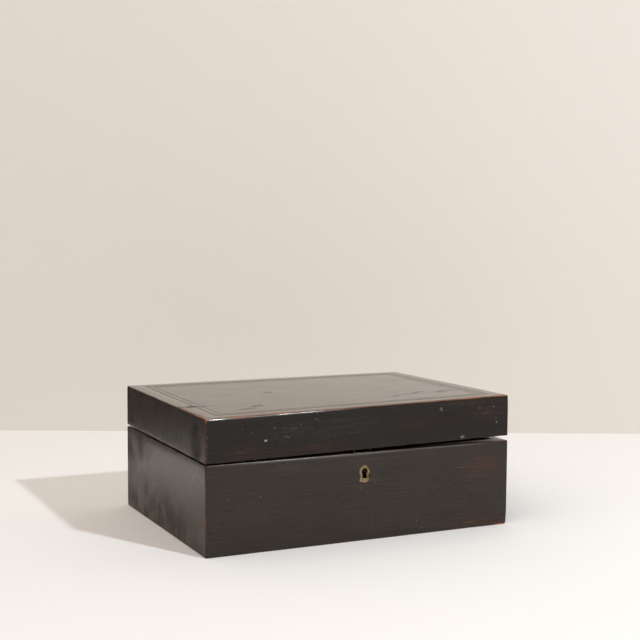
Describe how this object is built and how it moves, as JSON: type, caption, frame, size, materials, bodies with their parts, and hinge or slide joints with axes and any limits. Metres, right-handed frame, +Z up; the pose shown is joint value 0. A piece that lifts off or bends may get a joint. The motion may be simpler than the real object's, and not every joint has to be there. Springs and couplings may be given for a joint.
{
  "type": "hinged wooden box",
  "caption": "Rectangular dark wooden box with a slightly twisted hinged lid, banded top, flush keyhole escutcheon, a sliding-bolt box lock and butt hinges.",
  "frame": {"origin": "on the table, under the middle of the closed box", "axes": "+X to the right along the front, -Y out of the front face with the keyhole, +Z up"},
  "size_m": [0.3, 0.219, 0.1218],
  "materials": {
    "ebonised_wood": "black-stained and polished hardwood, worn to red-brown on its edges, satin",
    "bare_wood": "unstained red-brown hardwood, planed, matt",
    "stringing": "black-dyed wood line, flush",
    "aged_brass": "tarnished, worn smooth",
    "iron": "dull, filed"
  },
  "bodies": {
    "case": {"front_board": "ebonised_wood", "right_board": "ebonised_wood", "back_board": "ebonised_wood", "left_board": "ebonised_wood", "bottom_board": "bare_wood", "bottom_brads": "iron", "escutcheon": "aged_brass", "lock_plate": "aged_brass", "lock_case": "iron", "drill_pin": "iron", "bolt_stumps": "iron", "bolt_spring": "iron", "lock_screws": "aged_brass", "hinge_case_leaf_left": "aged_brass", "hinge_case_leaf_right": "aged_brass", "hinge_pin_left": "iron", "hinge_pin_right": "iron", "hinge_case_screws": "aged_brass"},
    "bolt": {"lock_bolt": "iron"},
    "lid": {"lid_front_rail": "ebonised_wood", "lid_right_rail": "ebonised_wood", "lid_back_rail": "ebonised_wood", "lid_left_rail": "ebonised_wood", "lid_top_board": "bare_wood", "outer_band_front": "ebonised_wood", "outer_band_right": "ebonised_wood", "outer_band_back": "ebonised_wood", "outer_band_left": "ebonised_wood", "inner_band_front": "ebonised_wood", "inner_band_right": "ebonised_wood", "inner_band_back": "ebonised_wood", "inner_band_left": "ebonised_wood", "outer_stringing": "stringing", "inner_stringing": "stringing", "field_veneer": "ebonised_wood", "link_plate": "aged_brass", "link_screws": "aged_brass", "hinge_lid_leaf_left": "aged_brass", "hinge_lid_leaf_right": "aged_brass", "hinge_lid_screws": "aged_brass"}
  },
  "joints": [
    {"name": "lid_hinge", "type": "hinge", "parent": "case", "child": "lid", "pos_m": [0, 0.10687, 0.07955], "axis": [-1, 0, 0], "range_deg": [0, 95]},
    {"name": "bolt_slide", "type": "slide", "parent": "case", "child": "bolt", "axis": [1, 0, 0], "range_m": [0, 0.0045]}
  ]
}
